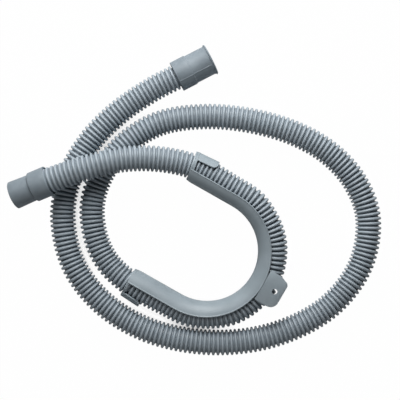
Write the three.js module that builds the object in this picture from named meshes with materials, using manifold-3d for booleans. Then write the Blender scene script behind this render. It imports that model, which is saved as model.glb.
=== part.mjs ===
import * as THREE from 'three';
import { mergeVertices } from 'three/addons/utils/BufferGeometryUtils.js';
import Module from 'manifold-3d';

// Washing machine drain hose, lying on a floor in the loops it takes when it is unpacked.
// A corrugated hose has a moulded cuff on each end, and a U-shaped guide clips round it, so
// that the hose hooks over the edge of a sink or into a standpipe. Millimetres, +Z up.

// Hose, over its ridges and through its bore
const hoseOuter = 23.6;
const hoseBore = 18;

// Fits of the hose in the pieces on it
const socketClearance = 0.4;
const seatGap = 0.4;
const channelClearance = 1.4;

// Cuff for the machine's pump outlet
const machineCuffLength = 35.5;
const machineGripLength = 14.1;
const machineGripOuter = 28.6;
const machineBodyOuter = 27.2;
const machineBore = 22;
const machineSocketDepth = 11.6;
const machineLipOuter = 29.9;
const machineLipThickness = 1.6;

// Cuff for the waste pipe
const drainCuffLength = 35.5;
const drainGripLength = 15.6;
const drainGripOuter = 27.4;
const drainNozzleOuter = 24.2;
const drainMouthOuter = 25.6;
const drainBore = 19;
const drainSocketDepth = 11.6;

// Edges of both cuffs
const socketLeadIn = 0.8;
const stepSlope = 0.6;
const mouthChamfer = 0.5;

// Channel of the guide: two straight legs and a half circle between them
const guideBendRadius = 60.9;
const guideLegLength = 48;
const guideWall = 1.4;
const rimBead = 0.45;
const rimBlend = 1.3;

// Hoop at each end of the channel, with a springy finger that reaches back along the hose
const clipStandOff = 0.3;
const hoopWidth = 3.2;
const fingerLength = 20;
const fingerHeight = 22;
const fingerCorner = 3.5;
const fingerSplay = 4;
const endCornerLength = 5;
const endCornerDepth = 1.2;

// Ear with the screw hole, opposite the legs
const earReach = 78.9;
const earWidth = 30;
const earCorner = 7;
const earThickness = 1.8;
const earDrop = 0.4;
const earRoot = 0.7;
const earHole = 5;
const earHoleInset = 7.7;

// Where the guide lies: its bend's centre on the floor, its turn, and the tilt that the
// rising strand of hose gives it
const guideCentre = new THREE.Vector2(9.4, -45.7);
const guideTurn = THREE.MathUtils.degToRad(-29.6);
const guideTilt = THREE.MathUtils.degToRad(6.5);

// Facets
const hoseSides = 12;
const hoseSteps = 80;
const cuffSides = 36;
const guideSteps = 44;
const guideSides = 18;

// Route of the hose's centre line, from its seat in the machine cuff to its seat in the drain cuff
const hoseRoute = [
  [-7.9, 118.3, 15.0], [-18.2, 113.0, 15.0], [-40.4, 101.7, 13.6], [-71.5, 80.6, 12.4],
  [-97.6, 54.0, 12.4], [-116.5, 20.5, 12.4], [-122.5, -17.2, 12.4], [-112.4, -60.0, 12.4],
  [-84.9, -95.2, 12.4], [-43.4, -119.7, 12.4], [13.6, -130.7, 12.4], [72.5, -123.2, 12.4],
  [123.1, -96.8, 12.4], [151.6, -58.2, 12.4], [157.9, -15.4, 12.4], [145.9, 17.0, 12.4],
  [122.5, 43.0, 12.4], [90.9, 61.3, 12.4], [49.5, 73.3, 12.4], [7.2, 76.9, 12.4],
  [-33.3, 70.7, 12.4], [-63.7, 52.9, 12.4], [-85.4, 26.5, 12.4], [-95.3, -3.0, 12.4],
  [-92.6, -32.9, 12.4], [-81.4, -56.6, 13.1], [-59.8, -76.6, 14.8], [-31.1, -92.8, 14.9],
  [-2.6, -105.1, 15.2], [34.9, -101.6, 17.7], [63.3, -76.4, 21.8], [70.9, -39.0, 25.9],
  [54.9, -4.4, 28.4], [29.3, 13.6, 28.8], [0.4, 29.5, 28.7], [-30.4, 36.7, 32.4],
  [-63.6, 36.9, 36.4], [-96.4, 29.6, 37.5], [-132.1, 17.8, 34.3], [-142.7, 13.5, 32.5],
];

const hoseRadius = hoseOuter / 2;
const socketRadius = hoseRadius + socketClearance;
const channelInner = hoseRadius + channelClearance;
const channelOuter = channelInner + guideWall;
const clipInner = channelInner + clipStandOff;
const clipOuter = channelOuter + clipStandOff;

const wasm = await Module();
wasm.setup();

function toSolid(geometry) {
  const bare = geometry.clone();
  bare.deleteAttribute('normal');
  bare.deleteAttribute('uv');
  const merged = mergeVertices(bare, 1e-4);
  return new wasm.Manifold(new wasm.Mesh({
    numProp: 3,
    vertProperties: merged.attributes.position.array,
    triVerts: Uint32Array.from(merged.index.array),
  }));
}

function toGeometry(solid) {
  const { vertProperties, triVerts } = solid.getMesh();
  const geometry = new THREE.BufferGeometry();
  geometry.setAttribute('position', new THREE.BufferAttribute(vertProperties, 3));
  geometry.setIndex(new THREE.BufferAttribute(triVerts, 1));
  geometry.computeVertexNormals();
  return geometry;
}

function ringShape(outer, inner) {
  const shape = new THREE.Shape();
  shape.absarc(0, 0, outer, 0, Math.PI * 2, false);
  const hole = new THREE.Path();
  hole.absarc(0, 0, inner, 0, Math.PI * 2, true);
  shape.holes.push(hole);
  return shape;
}

// Rectangle from (left, bottom) to (right, top) with round corners on its right side only
function tabShape(left, bottom, right, top, corner) {
  const shape = new THREE.Shape();
  shape.moveTo(left, bottom);
  shape.absarc(right - corner, bottom + corner, corner, -Math.PI / 2, 0, false);
  shape.absarc(right - corner, top - corner, corner, 0, Math.PI / 2, false);
  shape.lineTo(left, top);
  return shape;
}

// Hose

function makeHoseCurve() {
  const points = hoseRoute.map((point) => new THREE.Vector3(...point));
  const curve = new THREE.CatmullRomCurve3(points, false, 'centripetal');
  curve.arcLengthDivisions = 20 * points.length;
  return curve;
}

function makeHose(curve) {
  return new THREE.ExtrudeGeometry(ringShape(hoseRadius, hoseBore / 2), {
    extrudePath: curve,
    steps: hoseSteps,
    curveSegments: hoseSides / 2,
  });
}

// Cuffs. A profile is radius and height, and height 0 is the shoulder that the hose seats on.

function cuffGeometry(outline) {
  const points = outline.map(([radius, height]) => new THREE.Vector2(radius, height));
  points.push(points[0].clone());
  return new THREE.LatheGeometry(points, cuffSides);
}

function socketOutline(depth) {
  return [
    [socketRadius, 0],
    [socketRadius, socketLeadIn - depth],
    [socketRadius + socketLeadIn, -depth],
  ];
}

function makeMachineCuff() {
  const start = -machineSocketDepth;
  const step = start + machineGripLength;
  const end = start + machineCuffLength;
  return cuffGeometry([
    [machineGripOuter / 2, start],
    [machineGripOuter / 2, step],
    [machineBodyOuter / 2, step + stepSlope],
    [machineBodyOuter / 2, end - machineLipThickness - stepSlope],
    [machineLipOuter / 2, end - machineLipThickness],
    [machineLipOuter / 2, end - mouthChamfer],
    [machineLipOuter / 2 - mouthChamfer, end],
    [machineBore / 2 + mouthChamfer, end],
    [machineBore / 2, end - mouthChamfer],
    [machineBore / 2, 0],
    ...socketOutline(machineSocketDepth),
  ]);
}

function makeDrainCuff() {
  const start = -drainSocketDepth;
  const step = start + drainGripLength;
  const end = start + drainCuffLength;
  return cuffGeometry([
    [drainGripOuter / 2, start],
    [drainGripOuter / 2, step],
    [drainNozzleOuter / 2, step + stepSlope],
    [drainMouthOuter / 2, end - mouthChamfer],
    [drainMouthOuter / 2 - mouthChamfer, end],
    [drainBore / 2 + mouthChamfer, end],
    [drainBore / 2, end - mouthChamfer],
    [drainBore / 2, 0],
    ...socketOutline(drainSocketDepth),
  ]);
}

function seatOnHose(mesh, hoseEnd, outward) {
  mesh.position.copy(hoseEnd).addScaledVector(outward, seatGap);
  mesh.quaternion.setFromUnitVectors(new THREE.Vector3(0, 1, 0), outward);
}

// Guide, built about the centre of its bend: legs towards -X, ear towards +X, bend axis Z.

class HookCurve extends THREE.Curve {
  constructor(radius, leg) {
    super();
    this.radius = radius;
    this.leg = leg;
  }

  getPoint(t, target = new THREE.Vector3()) {
    const arc = Math.PI * this.radius;
    const along = t * (arc + 2 * this.leg) - this.leg;
    if (along < 0) return target.set(along, -this.radius, 0);
    if (along > arc) return target.set(arc - along, this.radius, 0);
    const angle = along / this.radius - Math.PI / 2;
    return target.set(this.radius * Math.cos(angle), this.radius * Math.sin(angle), 0);
  }
}

// Rolled rim in the section's plane, from its inner side round to its outer side
function rimPoints() {
  const radius = (guideWall + rimBead) / 2;
  const points = [];
  for (let step = 0; step <= 5; step += 1) {
    const angle = Math.PI * (1 + step / 4);
    const across = channelInner + radius + radius * Math.cos(angle);
    points.push(new THREE.Vector2(across, radius + radius * Math.sin(angle)));
  }
  return points;
}

// Half-round wall with a rolled rim, open on the outer side of the bend
function makeChannel() {
  const rim = rimPoints();
  const farRim = rim.map((point) => new THREE.Vector2(-point.x, point.y)).reverse();
  const innerStart = Math.asin(rim[0].y / channelInner);
  const outerStart = Math.asin((rim.at(-1).y + rimBlend) / channelOuter);
  const shape = new THREE.Shape();
  shape.setFromPoints(rim);
  shape.absarc(0, 0, channelOuter, outerStart, Math.PI - outerStart, false);
  farRim.forEach((point) => shape.lineTo(point.x, point.y));
  shape.absarc(0, 0, channelInner, Math.PI - innerStart, innerStart, true);
  return toSolid(new THREE.ExtrudeGeometry(shape, {
    extrudePath: new HookCurve(guideBendRadius, guideLegLength),
    steps: guideSteps,
    curveSegments: guideSides / 2,
  }));
}

function makeClipRing(length) {
  const ring = new THREE.ExtrudeGeometry(ringShape(clipOuter, clipInner), {
    depth: length,
    bevelEnabled: false,
    curveSegments: guideSides,
  });
  ring.rotateY(Math.PI / 2);
  ring.translate(-guideLegLength, guideBendRadius, 0);
  return toSolid(ring);
}

// Clip at the end of the leg on the +Y side: a whole hoop, and a finger cut from a longer ring
// and splayed away from the hose
function makeClip() {
  const tab = tabShape(0, -fingerHeight / 2, fingerLength, fingerHeight / 2, fingerCorner);
  const fingerBlock = new THREE.ExtrudeGeometry(tab, {
    depth: clipOuter,
    bevelEnabled: false,
    curveSegments: 4,
  });
  fingerBlock.rotateX(Math.PI / 2);
  fingerBlock.translate(-guideLegLength, guideBendRadius + clipOuter, 0);
  const finger = makeClipRing(fingerLength)
    .intersect(toSolid(fingerBlock))
    .translate([guideLegLength, -guideBendRadius - clipInner, 0])
    .rotate([0, 0, fingerSplay])
    .translate([-guideLegLength, guideBendRadius + clipInner, 0]);
  return makeClipRing(hoopWidth).add(finger);
}

// Wedge that slopes the leg's end on the inner side of the bend
function makeEndCorner() {
  const inner = guideBendRadius - clipOuter;
  const shape = new THREE.Shape();
  shape.moveTo(-guideLegLength, inner + endCornerDepth);
  shape.lineTo(-guideLegLength - endCornerLength, inner + 2 * endCornerDepth);
  shape.lineTo(-guideLegLength - endCornerLength, inner - endCornerDepth);
  shape.lineTo(-guideLegLength + 2 * endCornerLength, inner - endCornerDepth);
  const wedge = new THREE.ExtrudeGeometry(shape, { depth: 2 * clipOuter, bevelEnabled: false });
  wedge.translate(0, 0, -clipOuter);
  return toSolid(wedge);
}

function makeEar() {
  const rootRadius = guideBendRadius - earRoot;
  const halfAngle = Math.asin(earWidth / 2 / rootRadius);
  const left = rootRadius * Math.cos(halfAngle);
  const shape = tabShape(left, -earWidth / 2, earReach, earWidth / 2, earCorner);
  shape.absarc(0, 0, rootRadius, halfAngle, -halfAngle, true);
  const hole = new THREE.Path();
  hole.absarc(earReach - earHoleInset, 0, earHole / 2, 0, Math.PI * 2, true);
  shape.holes.push(hole);
  const plate = new THREE.ExtrudeGeometry(shape, {
    depth: earThickness,
    bevelEnabled: false,
    curveSegments: 10,
  });
  plate.translate(0, 0, channelOuter - earDrop - earThickness);
  return toSolid(plate);
}

function makeGuide() {
  const otherSide = [180, 0, 0];
  const clip = makeClip();
  const corner = makeEndCorner();
  const whole = makeChannel()
    .add(clip)
    .add(clip.rotate(otherSide))
    .add(makeEar())
    .subtract(corner)
    .subtract(corner.rotate(otherSide));
  return toGeometry(whole);
}

// Pieces

function makeMesh(name, geometry, color, roughness) {
  const material = new THREE.MeshStandardMaterial({ color, roughness, metalness: 0 });
  const mesh = new THREE.Mesh(geometry, material);
  mesh.name = name;
  return mesh;
}

const hoseCurve = makeHoseCurve();
const hose = makeMesh('hose', makeHose(hoseCurve), 0x8d99a3, 0.45);

const machineCuff = makeMesh('machine_cuff', makeMachineCuff(), 0x77838c, 0.55);
seatOnHose(machineCuff, hoseCurve.getPoint(0), hoseCurve.getTangent(0).negate());

const drainCuff = makeMesh('drain_cuff', makeDrainCuff(), 0x77838c, 0.55);
seatOnHose(drainCuff, hoseCurve.getPoint(1), hoseCurve.getTangent(1));

const hookGuide = makeMesh('hook_guide', makeGuide(), 0x8f9da5, 0.5);
hookGuide.rotation.x = guideTilt;

const guidePlace = new THREE.Group();
guidePlace.position.set(guideCentre.x, guideCentre.y, clipOuter + guideBendRadius * Math.sin(guideTilt));
guidePlace.rotation.z = guideTurn;
guidePlace.add(hookGuide);

const drainHose = new THREE.Group();
drainHose.add(hose, machineCuff, drainCuff, guidePlace);

export default drainHose;
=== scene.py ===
import math

import bmesh
import bpy
import numpy as np
from mathutils import Matrix, Vector


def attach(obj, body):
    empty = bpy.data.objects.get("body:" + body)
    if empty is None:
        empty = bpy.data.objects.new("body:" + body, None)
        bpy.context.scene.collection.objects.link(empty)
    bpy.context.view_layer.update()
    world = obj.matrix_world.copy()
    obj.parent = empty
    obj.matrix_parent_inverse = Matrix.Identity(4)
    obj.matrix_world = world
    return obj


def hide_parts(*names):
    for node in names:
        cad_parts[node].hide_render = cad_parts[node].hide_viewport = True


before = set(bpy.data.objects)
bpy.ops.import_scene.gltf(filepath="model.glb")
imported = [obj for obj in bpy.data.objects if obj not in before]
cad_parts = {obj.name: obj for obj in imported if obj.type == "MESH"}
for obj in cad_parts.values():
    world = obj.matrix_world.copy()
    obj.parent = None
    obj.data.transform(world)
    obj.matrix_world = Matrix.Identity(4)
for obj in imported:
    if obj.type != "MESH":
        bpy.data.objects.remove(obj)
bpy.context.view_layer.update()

# Washing machine drain hose, seen from straight above on a white studio floor.
# Pieces are drawn in millimetres and brought to metres when they are placed.
mm = 0.001
scene = bpy.context.scene


# Camera, straight above the coil

cameraSettings = {
    "place": (3.5, 0.25, 1000),
    "frameWidth": 368,  # what it sees across, at the height below
    "frameHeight": 12,  # middle of the hose where it lies on the floor
    "sensor": 36,
    "farthest": 10,  # metres that it sees
}


def addCamera():
    distance = cameraSettings["place"][2] - cameraSettings["frameHeight"]
    data = bpy.data.cameras.new("studioCamera")
    data.sensor_width = cameraSettings["sensor"]
    data.lens = cameraSettings["sensor"] * distance / cameraSettings["frameWidth"]
    data.clip_end = cameraSettings["farthest"]
    camera = bpy.data.objects.new("studioCamera", data)
    camera.location = Vector(cameraSettings["place"]) * mm
    scene.collection.objects.link(camera)
    scene.camera = camera
    print("camera made")


# Drawing with bmesh operators

def everything(bm):
    return bm.verts[:] + bm.edges[:] + bm.faces[:]


def partsOfKind(made, kind):
    return [part for part in made if isinstance(part, kind)]


def drawLine(bm, points, closed=False):
    first = bmesh.ops.create_vert(bm, co=points[0])["vert"][0]
    corner = first
    for point in points[1:]:
        corner = bmesh.ops.extrude_vert_indiv(bm, verts=[corner])["verts"][0]
        corner.co = point
    if closed:
        bm.edges.new((corner, first))


def drawStrip(bm, pairs):  # a ribbon of faces, from one pair of corners to the next
    drawLine(bm, pairs[0])
    ends = bm.verts[:]
    for pair in pairs[1:]:
        edge = bm.edges.get(ends)
        made = bmesh.ops.extrude_edge_only(bm, edges=[edge])["geom"]
        fresh = partsOfKind(made, bmesh.types.BMVert)
        ends = [next(v for v in fresh if bm.edges.get((v, end))) for end in ends]
        for corner, point in zip(ends, pair):
            corner.co = point


def spinWhole(bm, axis, steps, centre=(0, 0, 0)):
    bmesh.ops.spin(
        bm, geom=everything(bm), cent=centre, axis=axis, angle=math.tau, steps=steps, use_merge=True,
    )


def extrudeFaces(bm, faces, shift):
    made = bmesh.ops.extrude_face_region(bm, geom=faces)["geom"]
    bmesh.ops.translate(bm, verts=partsOfKind(made, bmesh.types.BMVert), vec=shift)
    return partsOfKind(made, bmesh.types.BMFace)


def sharpEdges(bm, degrees):
    limit = math.radians(degrees)
    return [edge for edge in bm.edges if len(edge.link_faces) == 2 and edge.calc_face_angle() > limit]


def bevelEdges(bm, edges, width, segments):
    bmesh.ops.bevel(
        bm, geom=edges, offset=width, offset_type="OFFSET", segments=segments, profile=0.5,
        affect="EDGES", material=-1, clamp_overlap=True,
    )


def closeUp(bm):  # joins the corners where a sweep meets itself
    bmesh.ops.remove_doubles(bm, verts=bm.verts, dist=0.002)
    bmesh.ops.recalc_face_normals(bm, faces=bm.faces)


def makePiece(bm, name):
    mesh = bpy.data.meshes.new(name)
    bm.to_mesh(mesh)
    bm.free()
    piece = bpy.data.objects.new(name, mesh)
    scene.collection.objects.link(piece)
    return piece


def finishPiece(piece, place, sharpAngle, material, node):
    piece.data.transform(Matrix.Scale(mm, 4) @ place)
    piece.data.shade_smooth()
    piece.data.set_sharp_from_angle(angle=math.radians(sharpAngle))
    piece.data.materials.clear()
    piece.data.materials.append(material)
    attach(piece, "root")
    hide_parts(node)
    print(piece.name, "made,", len(piece.data.polygons), "faces")


def combine(piece, tool, operation):
    change = piece.modifiers.new("change", "BOOLEAN")
    change.operation = operation
    change.solver = "EXACT"
    change.object = tool
    changed = piece.evaluated_get(bpy.context.evaluated_depsgraph_get())
    mesh = bpy.data.meshes.new_from_object(changed)
    piece.modifiers.clear()
    piece.data = mesh
    bpy.data.objects.remove(tool)


# Materials

def hexColour(text):  # sRGB hex to the linear colour that a shader wants
    channels = [int(text[start:start + 2], 16) / 255 for start in (1, 3, 5)]
    linear = [c / 12.92 if c <= 0.04045 else ((c + 0.055) / 1.055) ** 2.4 for c in channels]
    return (*linear, 1)


# Inputs go by name or number. A Mix node of colours has its factor at 0, its colours at 6 and 7,
# and gives the mixed colour at 2
def addNode(tree, kind, inputs=None, **settings):
    node = tree.nodes.new(kind)
    for name, value in settings.items():
        setattr(node, name, value)
    for socket, value in (inputs or {}).items():
        if isinstance(value, bpy.types.NodeSocket):
            tree.links.new(value, node.inputs[socket])
        else:
            node.inputs[socket].default_value = value
    return node


def startMaterial(name):
    material = bpy.data.materials.new(name)
    material.use_nodes = True
    material.node_tree.nodes.clear()
    return material, material.node_tree


def grainScale(size):  # noise scale whose grains have that size in mm, on coordinates in metres
    return 1 / (size * mm)


noiseSpread = {"From Min": 0.3, "From Max": 0.7}  # where nearly all of a noise texture's values lie


hoseFinish = {
    "ridge": "#a7b2ba",
    # painted shade: the groove colour is darker than the ridges' to stand for shade in the grooves
    "shadedValley": "#87929a",
    "roughness": (0.34, 0.46),
    "ior": 1.49,
    "mottle": 16,  # size in mm of the cloudy patches
    "mottleLevel": (0.94, 1.05),
    "peel": 0.9,  # orange peel of the blown skin, drawn coarser than it is
    "peelDepth": 0.015,
    "seamWidth": 0.035,  # sine of the angle that the mould's parting line takes up
    "seamDepth": 0.12,
}


# Polypropylene, extruded and blown into running half moulds: satin, with painted shade darkening
# the grooves between the ridges, and a fine parting line down each side
def blownPolypropylene():
    material, tree = startMaterial("blownPolypropylene")
    place = addNode(tree, "ShaderNodeTexCoord").outputs["Object"]
    skin = addNode(tree, "ShaderNodeAttribute", attribute_name="hoseSkin").outputs["Vector"]
    parts = addNode(tree, "ShaderNodeSeparateXYZ", {0: skin})
    mottle = addNode(tree, "ShaderNodeTexNoise", {
        "Vector": place, "Scale": grainScale(hoseFinish["mottle"]), "Detail": 4,
    })
    # painted shade: colour darkens from the ridge crests down into the grooves
    shade = addNode(tree, "ShaderNodeMix", {
        0: parts.outputs[2], 6: hexColour(hoseFinish["shadedValley"]), 7: hexColour(hoseFinish["ridge"]),
    }, data_type="RGBA")
    level = addNode(tree, "ShaderNodeMapRange", {
        "Value": mottle.outputs[0], **noiseSpread,
        "To Min": hoseFinish["mottleLevel"][0], "To Max": hoseFinish["mottleLevel"][1],
    })
    colour = addNode(tree, "ShaderNodeVectorMath", {
        0: shade.outputs[2], "Scale": level.outputs[0],
    }, operation="SCALE")
    roughness = addNode(tree, "ShaderNodeMapRange", {
        "Value": mottle.outputs[0], **noiseSpread,
        "To Min": hoseFinish["roughness"][0], "To Max": hoseFinish["roughness"][1],
    })
    peel = addNode(tree, "ShaderNodeTexNoise", {
        "Vector": place, "Scale": grainScale(hoseFinish["peel"]), "Detail": 2,
    })
    peelHeight = addNode(tree, "ShaderNodeMath", {
        0: peel.outputs[0], 1: hoseFinish["peelDepth"],
    }, operation="MULTIPLY")
    aside = addNode(tree, "ShaderNodeMath", {0: parts.outputs[1]}, operation="ABSOLUTE")
    seam = addNode(tree, "ShaderNodeMapRange", {
        "Value": aside.outputs[0], "From Min": 0, "From Max": hoseFinish["seamWidth"],
        "To Min": hoseFinish["seamDepth"], "To Max": 0,
    })
    relief = addNode(tree, "ShaderNodeMath", {
        0: peelHeight.outputs[0], 1: seam.outputs[0],
    }, operation="ADD")
    bump = addNode(tree, "ShaderNodeBump", {
        "Height": relief.outputs[0], "Distance": mm, "Strength": 1,
    })
    surface = addNode(tree, "ShaderNodeBsdfPrincipled", {
        "Base Color": colour.outputs[0], "Roughness": roughness.outputs[0],
        "Normal": bump.outputs[0], "IOR": hoseFinish["ior"],
    })
    addNode(tree, "ShaderNodeOutputMaterial", {"Surface": surface.outputs[0]})
    return material


cuffFinish = {
    "name": "mouldedSoftRubber",
    "colour": "#7e8991",
    "worn": "#87929a",
    "roughness": (0.46, 0.6),
    "ior": 1.5,
    "mottle": 9,
    "grain": 0.7,  # drawn coarser than it is, as the guide's is
    "grainDepth": 0.03,
}

guideFinish = {
    "name": "mouldedPolypropylene",
    "colour": "#97a3aa",
    "worn": "#a0acb3",
    "roughness": (0.4, 0.52),
    "ior": 1.5,
    "mottle": 22,
    "grain": 0.8,
    "grainDepth": 0.025,
}


# Injection moulded parts. Soft rubber keeps the dull grain of a spark-eroded mould, and
# polypropylene has a finer skin with slow changes of gloss where it flowed
def mouldedSkin(finish):
    material, tree = startMaterial(finish["name"])
    place = addNode(tree, "ShaderNodeTexCoord").outputs["Object"]
    mottle = addNode(tree, "ShaderNodeTexNoise", {
        "Vector": place, "Scale": grainScale(finish["mottle"]), "Detail": 5,
    })
    blend = addNode(tree, "ShaderNodeMapRange", {
        "Value": mottle.outputs[0], "From Min": 0.35, "From Max": 0.65,
    })
    colour = addNode(tree, "ShaderNodeMix", {
        0: blend.outputs[0], 6: hexColour(finish["colour"]), 7: hexColour(finish["worn"]),
    }, data_type="RGBA")
    roughness = addNode(tree, "ShaderNodeMapRange", {
        "Value": mottle.outputs[0], **noiseSpread,
        "To Min": finish["roughness"][0], "To Max": finish["roughness"][1],
    })
    grain = addNode(tree, "ShaderNodeTexNoise", {
        "Vector": place, "Scale": grainScale(finish["grain"]), "Detail": 3,
    })
    grainHeight = addNode(tree, "ShaderNodeMath", {
        0: grain.outputs[0], 1: finish["grainDepth"],
    }, operation="MULTIPLY")
    bump = addNode(tree, "ShaderNodeBump", {
        "Height": grainHeight.outputs[0], "Distance": mm, "Strength": 1,
    })
    surface = addNode(tree, "ShaderNodeBsdfPrincipled", {
        "Base Color": colour.outputs[2], "Roughness": roughness.outputs[0],
        "Normal": bump.outputs[0], "IOR": finish["ior"],
    })
    addNode(tree, "ShaderNodeOutputMaterial", {"Surface": surface.outputs[0]})
    return material


# Hose: one corrugated tube, drawn straight and then bent along its route

hoseRoute = [
    (-0.0079, 0.1183, 0.0150), (-0.0182, 0.1130, 0.0150), (-0.0404, 0.1017, 0.0136),
    (-0.0715, 0.0806, 0.0124), (-0.0976, 0.0540, 0.0124), (-0.1165, 0.0205, 0.0124),
    (-0.1225, -0.0172, 0.0124), (-0.1124, -0.0600, 0.0124), (-0.0849, -0.0952, 0.0124),
    (-0.0434, -0.1197, 0.0124), (0.0136, -0.1307, 0.0124), (0.0725, -0.1232, 0.0124),
    (0.1231, -0.0968, 0.0124), (0.1516, -0.0582, 0.0124), (0.1579, -0.0154, 0.0124),
    (0.1459, 0.0170, 0.0124), (0.1225, 0.0430, 0.0124), (0.0909, 0.0613, 0.0124),
    (0.0495, 0.0733, 0.0124), (0.0072, 0.0769, 0.0124), (-0.0333, 0.0707, 0.0124),
    (-0.0637, 0.0529, 0.0124), (-0.0854, 0.0265, 0.0124), (-0.0953, -0.0030, 0.0124),
    (-0.0926, -0.0329, 0.0124), (-0.0814, -0.0566, 0.0131), (-0.0598, -0.0766, 0.0148),
    (-0.0311, -0.0928, 0.0149), (-0.0026, -0.1051, 0.0152), (0.0349, -0.1016, 0.0177),
    (0.0633, -0.0764, 0.0218), (0.0709, -0.0390, 0.0259), (0.0549, -0.0044, 0.0284),
    (0.0293, 0.0136, 0.0288), (0.0004, 0.0295, 0.0287), (-0.0304, 0.0367, 0.0324),
    (-0.0636, 0.0369, 0.0364), (-0.0964, 0.0296, 0.0375), (-0.1321, 0.0178, 0.0343),
    (-0.1427, 0.0135, 0.0325),
]

hoseSettings = {
    "outer": 23.6,  # diameter over the ridges
    "root": 18.7,  # and between them
    "bore": 17.6,
    "pitch": 4.1,  # wanted distance between ridges, evened out over the length
    "inCuff": 11.2,  # length of hose inside each cuff
    "firstRidge": 2.5,  # from the cuff's face to the middle of the first ridge that shows
    "endCollar": 1.2,  # plain rim that the hose is cut through
    "ridge": [  # along the hose, and share of the ridge's height
        (-1.55, 0), (-1.25, 0.45), (-0.9, 0.85), (-0.35, 1),
        (0.35, 1), (0.9, 0.85), (1.25, 0.45), (1.55, 0),
    ],
    "sides": 32,
    "boreStep": 9,  # length of each band of faces along the bore
    "sharpFrom": 50,  # degrees between faces
}


def routeLine(stepsBetween=48):  # centripetal Catmull-Rom curve through the route's points
    points = np.array(hoseRoute)
    before = 2 * points[0] - points[1]
    after = 2 * points[-1] - points[-2]
    points = np.vstack([before, points, after])
    share = np.linspace(0, 1, stepsBetween, endpoint=False)[:, None]
    line = []
    for p0, p1, p2, p3 in zip(points, points[1:], points[2:], points[3:]):
        d0, d1, d2 = (np.sqrt(np.linalg.norm(b - a)) for a, b in ((p0, p1), (p1, p2), (p2, p3)))
        start = d1 * ((p1 - p0) / d0 - (p2 - p0) / (d0 + d1) + (p2 - p1) / d1)
        end = d1 * ((p2 - p1) / d1 - (p3 - p1) / (d1 + d2) + (p3 - p2) / d2)
        bend = -3 * p1 + 3 * p2 - 2 * start - end
        twist = 2 * p1 - 2 * p2 + start + end
        line.append(p1 + start * share + bend * share ** 2 + twist * share ** 3)
    return np.vstack([*line, points[-2]])


def alongLine(line):
    return np.concatenate([[0], np.cumsum(np.linalg.norm(np.diff(line, axis=0), axis=1))])


def carryFrame(line):  # directions that go with the line without twisting
    forward = np.gradient(line, axis=0)
    forward /= np.linalg.norm(forward, axis=1)[:, None]
    side = np.cross((0, 0, 1), forward[0])
    sides = []
    for heading in forward:
        side = side - heading * side.dot(heading)
        side = side / np.linalg.norm(side)
        sides.append(side)
    sides = np.array(sides)
    return sides, np.cross(forward, sides)


def hoseProfile(length):
    outer, root, bore = (hoseSettings[name] / 2 for name in ("outer", "root", "bore"))
    reach = hoseSettings["inCuff"] + hoseSettings["firstRidge"]
    count = round((length - 2 * reach) / hoseSettings["pitch"])
    pitch = (length - 2 * reach) / count
    hidden = int((reach - hoseSettings["endCollar"] - hoseSettings["ridge"][-1][0]) / pitch)
    collar = [(0, outer), (hoseSettings["endCollar"], outer), (hoseSettings["endCollar"], root)]
    rise = outer - root
    line = list(collar)
    for number in range(-hidden, count + hidden + 1):  # with the ridges inside the cuffs
        middle = reach + number * pitch
        line += [(middle + along, root + share * rise) for along, share in hoseSettings["ridge"]]
    line += [(length - along, radius) for along, radius in reversed(collar)]
    rings = round(length / hoseSettings["boreStep"])
    line += [(length * (1 - ring / rings), bore) for ring in range(rings + 1)]
    return [(along, radius, 0) for along, radius in line]


def bendHose(mesh, line):
    straight = np.empty(len(mesh.vertices) * 3)
    mesh.vertices.foreach_get("co", straight)
    straight = straight.reshape(-1, 3)
    reach = np.hypot(straight[:, 1], straight[:, 2])
    root, outer = hoseSettings["root"] / 2 * mm, hoseSettings["outer"] / 2 * mm
    height = np.clip((reach - root) / (outer - root), 0, 1)
    around = straight[:, 1:] / reach[:, None]
    skin = mesh.attributes.new("hoseSkin", "FLOAT_VECTOR", "POINT")
    skin.data.foreach_set("vector", np.column_stack([around, height]).ravel())
    along = alongLine(line)
    sides, ups = carryFrame(line)
    middle, side, up = (
        np.column_stack([np.interp(straight[:, 0], along, part[:, axis]) for axis in range(3)])
        for part in (line, sides, ups)
    )
    bent = middle + side * straight[:, 1:2] + up * straight[:, 2:3]
    mesh.vertices.foreach_set("co", bent.ravel())
    mesh.update()


def makeHose():
    line = routeLine()
    length = alongLine(line)[-1]
    bm = bmesh.new()
    drawLine(bm, hoseProfile(length / mm), closed=True)
    spinWhole(bm, (1, 0, 0), hoseSettings["sides"])
    closeUp(bm)
    hose = makePiece(bm, "corrugatedHose")
    material = blownPolypropylene()
    finishPiece(hose, Matrix(), hoseSettings["sharpFrom"], material, "hose")
    bendHose(hose.data, line)
    return hose, line, length


# Cuffs: turned about the hose's own axis at each end, height 0 at the shoulder inside

machineCuff = {
    "name": "machineCuff",
    "node": "machine_cuff",
    "socketDepth": 11.6,
    "outline": [  # radius and height, outside from the hose's end to the mouth
        (14.3, -11.6), (14.3, 2.5), (13.6, 3.1), (13.6, 20.8),
        (14, 22.2), (14.95, 22.7), (14.95, 23), (14.1, 23.9),
    ],
    "bore": 11,
    "partingLines": [(14.3, -11.0, 2.3), (13.6, 3.4, 21.3)],  # radius, start and end of each
}

drainCuff = {
    "name": "drainCuff",
    "node": "drain_cuff",
    "socketDepth": 11.6,
    "outline": [(13.7, -11.6), (13.7, 4.0), (12.1, 4.9), (12.25, 8.0), (12.8, 23.9)],
    "bore": 9.5,
    "partingLines": [],  # trimmed flush
}

cuffSettings = {
    "sides": 96,
    "socket": 12.2,  # radius, and the bores' are radii too
    "seatGap": 0.4,
    "edge": 0.5,  # rounding of every edge
    "lineRadius": 0.5,
    "lineHeight": 0.3,
    "lineAngle": 27,  # from the top, towards the viewer's lower side
    "sharpFrom": 30,
}


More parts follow.
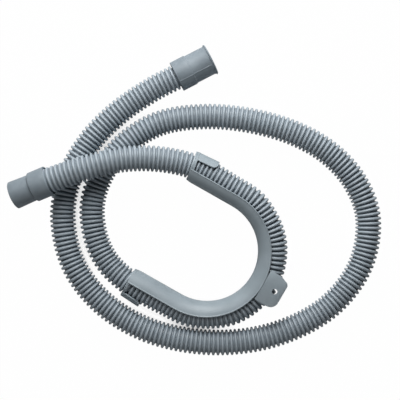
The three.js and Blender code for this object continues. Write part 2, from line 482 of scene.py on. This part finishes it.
def addPartingLine(bm, radius, start, end, angle):  # half buried rod, as a mould's halves leave
    rod = bmesh.ops.create_cone(
        bm, cap_ends=True, segments=12, depth=end - start,
        radius1=cuffSettings["lineRadius"], radius2=cuffSettings["lineRadius"],
    )["verts"]
    middle = radius + cuffSettings["lineHeight"] - cuffSettings["lineRadius"]
    bmesh.ops.translate(bm, verts=rod, vec=(0, middle, (start + end) / 2))
    bmesh.ops.rotate(bm, verts=rod, cent=(0, 0, 0), matrix=Matrix.Rotation(angle, 3, "Z"))


def makeCuff(cuff, seat, outward, material):
    mouth = cuff["outline"][-1][1]
    inside = [
        (cuff["bore"], mouth), (cuff["bore"], 0), (cuffSettings["socket"], 0),
        (cuffSettings["socket"], -cuff["socketDepth"]),
    ]
    bm = bmesh.new()
    drawLine(bm, [(radius, 0, height) for radius, height in cuff["outline"] + inside], closed=True)
    spinWhole(bm, (0, 0, 1), cuffSettings["sides"])
    closeUp(bm)
    bevelEdges(bm, sharpEdges(bm, degrees=25), cuffSettings["edge"], segments=3)
    for radius, start, end in cuff["partingLines"]:
        for half in (0, math.pi):
            addPartingLine(bm, radius, start, end, math.radians(cuffSettings["lineAngle"]) + half)
    piece = makePiece(bm, cuff["name"])
    outward = Vector(outward).normalized()
    up = (Vector((0, 0, 1)) - outward * outward.z).normalized()
    turn = Matrix((up.cross(outward), up, outward)).transposed().to_4x4()
    place = Matrix.Translation(Vector(seat) / mm + outward * cuffSettings["seatGap"]) @ turn
    finishPiece(piece, place, cuffSettings["sharpFrom"], material, cuff["node"])
    return piece


# Hook guide, drawn about the centre of its bend: legs towards -X, ear towards +X

guideSettings = {
    "centre": (9.4, -45.7),
    "turn": -29.6,  # degrees about the upright
    "tilt": 6.5,  # degrees that the upper leg rises by, about the legs' direction
    "lift": 14.9,  # middle of the lower leg over the floor
    "bend": 60.9,  # radius, to the middle of the hose
    "leg": 48,
    "inner": 12.7,  # radius of the channel inside
    "wall": 1.4,
    "setback": 1.6,  # from the middle of the hose to the plane of the rims
    "beadRadius": 0.7,
    "beadProud": 0.35,  # how far the outer edge of each rim swells out
    "rimEdge": 0.3,
    "rimDepths": (0, 0.1, 0.3, 0.7, 1.1, 1.4, 1.8, 2.3),  # where the rim's curve has its corners
    "endCorners": {1: (5, 1.2), -1: (7, 1.7)},  # length and depth cut off the end of each leg
    "bendSteps": 56,
    "wallSteps": 22,
    "sharpFrom": 35,
}

# Closed hoop and spring finger at the end of each leg: 1 is the upper leg, -1 the lower
clipSettings = {
    "hoopInner": 12.3,
    "hoopOuter": 13.9,
    "hoopGroove": 0.5,
    "grooveSpan": (0.4, 0.6),  # share of the hoop's width
    "hoopEdge": 0.25,
    "hoops": {1: (-1.7, 3.9, 10), -1: (-0.4, 2.4, 0)},  # start past the leg's end, width, lean in degrees
    "inner": {1: 12.4, -1: 13},
    "thickness": 1.4,
    "length": 19,
    "halfHeight": 11.3,
    "corner": 3.5,
    "cornerSteps": (22, 44, 64, 80, 90),  # degrees round the finger's corners
    "acrossSteps": 8,  # in each half of the finger
    "splay": 4,  # degrees that the finger stands away by
    "edge": 0.35,
    "sides": 72,
}

earSettings = {
    "root": 58.9,  # from the centre of the guide's bend
    "reach": 78.9,
    "width": 30,
    "roundCorner": 7.5,  # at its lower end
    "cutCorner": (9, 3.5),  # at its upper end, length along each side
    "softening": 2.5,
    "top": 13.9,  # over the middle of the hose
    "thickness": 1.8,
    "edge": 0.3,
    "hole": 5,
    "holePlace": 71.2,
}


def rimPairs():  # height from the hose's middle, with the inner and outer reach at that height
    inner, outer = guideSettings["inner"], guideSettings["inner"] + guideSettings["wall"]
    bead, edge = guideSettings["beadRadius"], guideSettings["rimEdge"]
    pairs = []
    for depth in guideSettings["rimDepths"]:
        height = depth + guideSettings["setback"]
        near, far = (math.sqrt(reach ** 2 - height ** 2) for reach in (inner, outer))
        swell = math.sqrt(max(0, bead ** 2 - (bead - depth) ** 2)) - bead + guideSettings["beadProud"]
        near += edge - math.sqrt(edge ** 2 - max(0, edge - depth) ** 2)
        far += swell if depth < bead else max(0, swell)
        pairs.append((height, near, far))
    return pairs


def channelSection():
    inner, outer = guideSettings["inner"], guideSettings["inner"] + guideSettings["wall"]
    rim = rimPairs()
    start = math.asin(rim[-1][0] / outer)
    x, y = -guideSettings["leg"], -guideSettings["bend"]
    pairs = [((x, y + height, near), (x, y + height, far)) for height, near, far in rim]
    for step in range(1, guideSettings["wallSteps"]):
        angle = start + (math.pi - 2 * start) * step / guideSettings["wallSteps"]
        pairs.append([(x, y + r * math.sin(angle), r * math.cos(angle)) for r in (inner, outer)])
    pairs += [((x, y + height, -near), (x, y + height, -far)) for height, near, far in reversed(rim)]
    return pairs


def makeChannel():
    bm = bmesh.new()
    drawStrip(bm, channelSection())
    faces = extrudeFaces(bm, bm.faces[:], (guideSettings["leg"], 0, 0))
    turned = bmesh.ops.spin(
        bm, geom=faces, axis=(0, 0, 1), angle=math.pi, steps=guideSettings["bendSteps"],
    )
    faces = partsOfKind(turned["geom_last"], bmesh.types.BMFace)
    extrudeFaces(bm, faces, (-guideSettings["leg"], 0, 0))
    closeUp(bm)
    return makePiece(bm, "hookGuide")


def turnOver(bm, side):  # the lower leg is the upper one turned over
    if side < 0:
        bmesh.ops.rotate(bm, verts=bm.verts, cent=(0, 0, 0), matrix=Matrix.Rotation(math.pi, 3, "X"))


def makeHoop(side):
    start, width, lean = clipSettings["hoops"][side]
    x, y = start - guideSettings["leg"], guideSettings["bend"]
    inner, outer = clipSettings["hoopInner"], clipSettings["hoopOuter"]
    grooveStart, grooveEnd = (width * share for share in clipSettings["grooveSpan"])
    outline = [(0, inner), (0, outer), (grooveStart, outer)]
    outline += [((grooveStart + grooveEnd) / 2, outer - clipSettings["hoopGroove"]), (grooveEnd, outer)]
    outline += [(width, outer), (width, inner)]
    bm = bmesh.new()
    drawLine(bm, [(x + along, y + reach, 0) for along, reach in outline], closed=True)
    spinWhole(bm, (1, 0, 0), clipSettings["sides"], (x, y, 0))
    closeUp(bm)
    bevelEdges(bm, sharpEdges(bm, degrees=80), clipSettings["hoopEdge"], segments=2)
    middle = (x + width / 2, y, 0)
    bmesh.ops.rotate(bm, verts=bm.verts, cent=middle, matrix=Matrix.Rotation(math.radians(lean), 3, "Z"))
    turnOver(bm, side)
    return makePiece(bm, "hoop")


def fingerHalf(along):  # half height of the finger that far along it
    corner = clipSettings["corner"]
    past = max(0, along - clipSettings["length"] + corner)
    return clipSettings["halfHeight"] - corner + math.sqrt(corner ** 2 - past ** 2)


def makeFinger(side):
    x, y = -guideSettings["leg"], guideSettings["bend"]
    inner = clipSettings["inner"][side]
    outer = inner + clipSettings["thickness"]
    spread = math.asin(clipSettings["halfHeight"] / outer)
    half = clipSettings["acrossSteps"]
    pairs = []
    for step in range(-half, half + 1):
        angle = spread * step / half
        pairs.append([(x, y + r * math.cos(angle), r * math.sin(angle)) for r in (inner, outer)])
    bm = bmesh.new()
    drawStrip(bm, pairs)
    faces = bm.faces[:]
    straight = clipSettings["length"] - clipSettings["corner"]
    turns = [math.radians(degrees) for degrees in clipSettings["cornerSteps"]]
    stations = [0, straight] + [straight + clipSettings["corner"] * math.sin(turn) for turn in turns]
    for before, after in zip(stations, stations[1:]):
        faces = extrudeFaces(bm, faces, (after - before, 0, 0))
        shrink = math.asin(fingerHalf(after) / outer) / math.asin(fingerHalf(before) / outer)
        for corner in {corner for face in faces for corner in face.verts}:
            reach = math.hypot(corner.co.y - y, corner.co.z)
            angle = math.atan2(corner.co.z, corner.co.y - y) * shrink
            corner.co.yz = y + reach * math.cos(angle), reach * math.sin(angle)
    closeUp(bm)
    bevelEdges(bm, sharpEdges(bm, degrees=40), clipSettings["edge"], segments=2)
    splay = Matrix.Rotation(math.radians(clipSettings["splay"]), 3, "Z")
    bmesh.ops.rotate(bm, verts=bm.verts, cent=(x, y + inner, 0), matrix=splay)
    turnOver(bm, side)
    return makePiece(bm, "finger")


def makeEar():
    root, reach, half = earSettings["root"], earSettings["reach"], earSettings["width"] / 2
    along, across = earSettings["cutCorner"]
    softening = earSettings["softening"]
    corners = [  # place of each corner and its rounding
        (root, -half, 0), (reach, -half, earSettings["roundCorner"]), (reach, half - across, softening),
        (reach - along, half, softening), (root, half, 0),
    ]
    underside = earSettings["top"] - earSettings["thickness"]
    bm = bmesh.new()
    drawLine(bm, [(x, y, underside) for x, y, rounding in corners], closed=True)
    faces = bmesh.ops.edgeloop_fill(bm, edges=bm.edges[:])["faces"]
    extrudeFaces(bm, faces, (0, 0, earSettings["thickness"]))
    for x, y, rounding in corners:
        if rounding:
            spot = Vector((x, y))
            upright = [e for e in bm.edges if all((v.co.xy - spot).length < 0.01 for v in e.verts)]
            bevelEdges(bm, upright, rounding, segments=10)
    closeUp(bm)
    bevelEdges(bm, sharpEdges(bm, degrees=60), earSettings["edge"], segments=2)
    return makePiece(bm, "ear")


def makeDrill():
    radius = earSettings["hole"] / 2
    bm = bmesh.new()
    bmesh.ops.create_cone(bm, cap_ends=True, segments=40, radius1=radius, radius2=radius, depth=10)
    bmesh.ops.translate(bm, verts=bm.verts, vec=(earSettings["holePlace"], 0, earSettings["top"]))
    return makePiece(bm, "drill")


def makeEndCutter(side):  # block that takes the inner corner off the end of a leg
    length, depth = guideSettings["endCorners"][side]
    outer = guideSettings["inner"] + guideSettings["wall"]
    corner = (-guideSettings["leg"], guideSettings["bend"] - outer + depth, 0)
    block = 40
    slant = Matrix.Rotation(-math.atan2(depth, length), 3, "Z")
    bm = bmesh.new()
    bmesh.ops.create_cube(bm, size=block)
    bmesh.ops.translate(bm, verts=bm.verts, vec=(0, -block / 2, 0))
    bmesh.ops.rotate(bm, verts=bm.verts, cent=(0, 0, 0), matrix=slant)
    bmesh.ops.translate(bm, verts=bm.verts, vec=corner)
    turnOver(bm, side)
    return makePiece(bm, "cutter")


def makeGuide(material):
    guide = makeChannel()
    for side in (1, -1):
        combine(guide, makeHoop(side), "UNION")
        combine(guide, makeFinger(side), "UNION")
        combine(guide, makeEndCutter(side), "DIFFERENCE")
    ear = makeEar()
    combine(ear, makeDrill(), "DIFFERENCE")
    combine(guide, ear, "UNION")
    tilt = math.radians(guideSettings["tilt"])
    turn = math.radians(guideSettings["turn"])
    height = guideSettings["lift"] + guideSettings["bend"] * math.sin(tilt)
    lean = Matrix.Rotation(turn, 4, "Z") @ Matrix.Rotation(tilt, 4, "X")
    place = Matrix.Translation((*guideSettings["centre"], height)) @ lean
    finishPiece(guide, place, guideSettings["sharpFrom"], material, "hook_guide")
    return guide


# Studio: a white floor, a tall window of light at the top of the picture and weak fills

floorSettings = {
    "size": 8,
    "bounce": "#c4c6c7",  # what the paper sends back onto the part
    "exposed": 0.99,  # share of blown-out white that the camera sees; the rest takes shadows
    "gap": 22,  # reach in mm of the painted shade that darkens the floor between strands that nearly touch
    "paintedShadeLevels": (0.03, 0.13),  # openness at which that painted shade is full, and at which it is gone
}

lampSettings = {
    "across": 0.5,  # metres, each way
    "lamps": [  # name, place in metres and watts
        ("lowPane", (0, 0.87, 0.38), 5.7),
        ("highPane", (0, 0.67, 0.69), 5),
        ("leftFill", (-0.51, 0.51, 0.61), 1.6),
        ("frontFill", (0, -0.73, 0.61), 1.4),
    ],
    "surroundings": 0.01,  # strength of the world on the part; the camera sees it white
}


def addFloor():
    bm = bmesh.new()
    bmesh.ops.create_grid(bm, x_segments=1, y_segments=1, size=floorSettings["size"] / 2)
    floor = makePiece(bm, "studioFloor")
    material, tree = startMaterial("whitePaper")
    rays = addNode(tree, "ShaderNodeLightPath")
    share = addNode(tree, "ShaderNodeMath", {
        0: rays.outputs["Is Camera Ray"], 1: floorSettings["exposed"],
    }, operation="MULTIPLY")
    # painted shade: the floor's white glow is dimmed where nearby strands close it in
    openness = addNode(tree, "ShaderNodeAmbientOcclusion", {"Distance": floorSettings["gap"] * mm})
    glow = addNode(tree, "ShaderNodeMapRange", {
        "Value": openness.outputs["AO"],
        "From Min": floorSettings["paintedShadeLevels"][0], "From Max": floorSettings["paintedShadeLevels"][1],
    })
    paper = addNode(tree, "ShaderNodeBsdfDiffuse", {"Color": hexColour(floorSettings["bounce"])})
    white = addNode(tree, "ShaderNodeEmission", {"Color": (1, 1, 1, 1), "Strength": glow.outputs[0]})
    mix = addNode(tree, "ShaderNodeMixShader", {
        0: share.outputs[0], 1: paper.outputs[0], 2: white.outputs[0],
    })
    addNode(tree, "ShaderNodeOutputMaterial", {"Surface": mix.outputs[0]})
    floor.data.materials.append(material)


def addLamps():
    for name, place, watts in lampSettings["lamps"]:
        data = bpy.data.lights.new(name, "AREA")
        data.size = lampSettings["across"]
        data.energy = watts
        lamp = bpy.data.objects.new(name, data)
        lamp.location = place
        lamp.rotation_euler = (-Vector(place)).to_track_quat("-Z", "Y").to_euler()
        scene.collection.objects.link(lamp)


def addWorld():
    world = bpy.data.worlds.new("studio")
    world.use_nodes = True
    world.node_tree.nodes.clear()
    rays = addNode(world.node_tree, "ShaderNodeLightPath")
    dim = addNode(world.node_tree, "ShaderNodeBackground", {
        "Color": (1, 1, 1, 1), "Strength": lampSettings["surroundings"],
    })
    white = addNode(world.node_tree, "ShaderNodeBackground", {"Color": (1, 1, 1, 1), "Strength": 1})
    mix = addNode(world.node_tree, "ShaderNodeMixShader", {
        0: rays.outputs["Is Camera Ray"], 1: dim.outputs[0], 2: white.outputs[0],
    })
    addNode(world.node_tree, "ShaderNodeOutputWorld", {"Surface": mix.outputs[0]})
    scene.world = world
    scene.view_settings.view_transform = "Standard"


addCamera()
hose, hoseLine, hoseLength = makeHose()
rubber = mouldedSkin(cuffFinish)
machineEnd = makeCuff(machineCuff, hoseLine[0], hoseLine[0] - hoseLine[1], rubber)
drainEnd = makeCuff(drainCuff, hoseLine[-1], hoseLine[-1] - hoseLine[-2], rubber)
guide = makeGuide(mouldedSkin(guideFinish))
addFloor()
addLamps()
addWorld()
print("studio made")
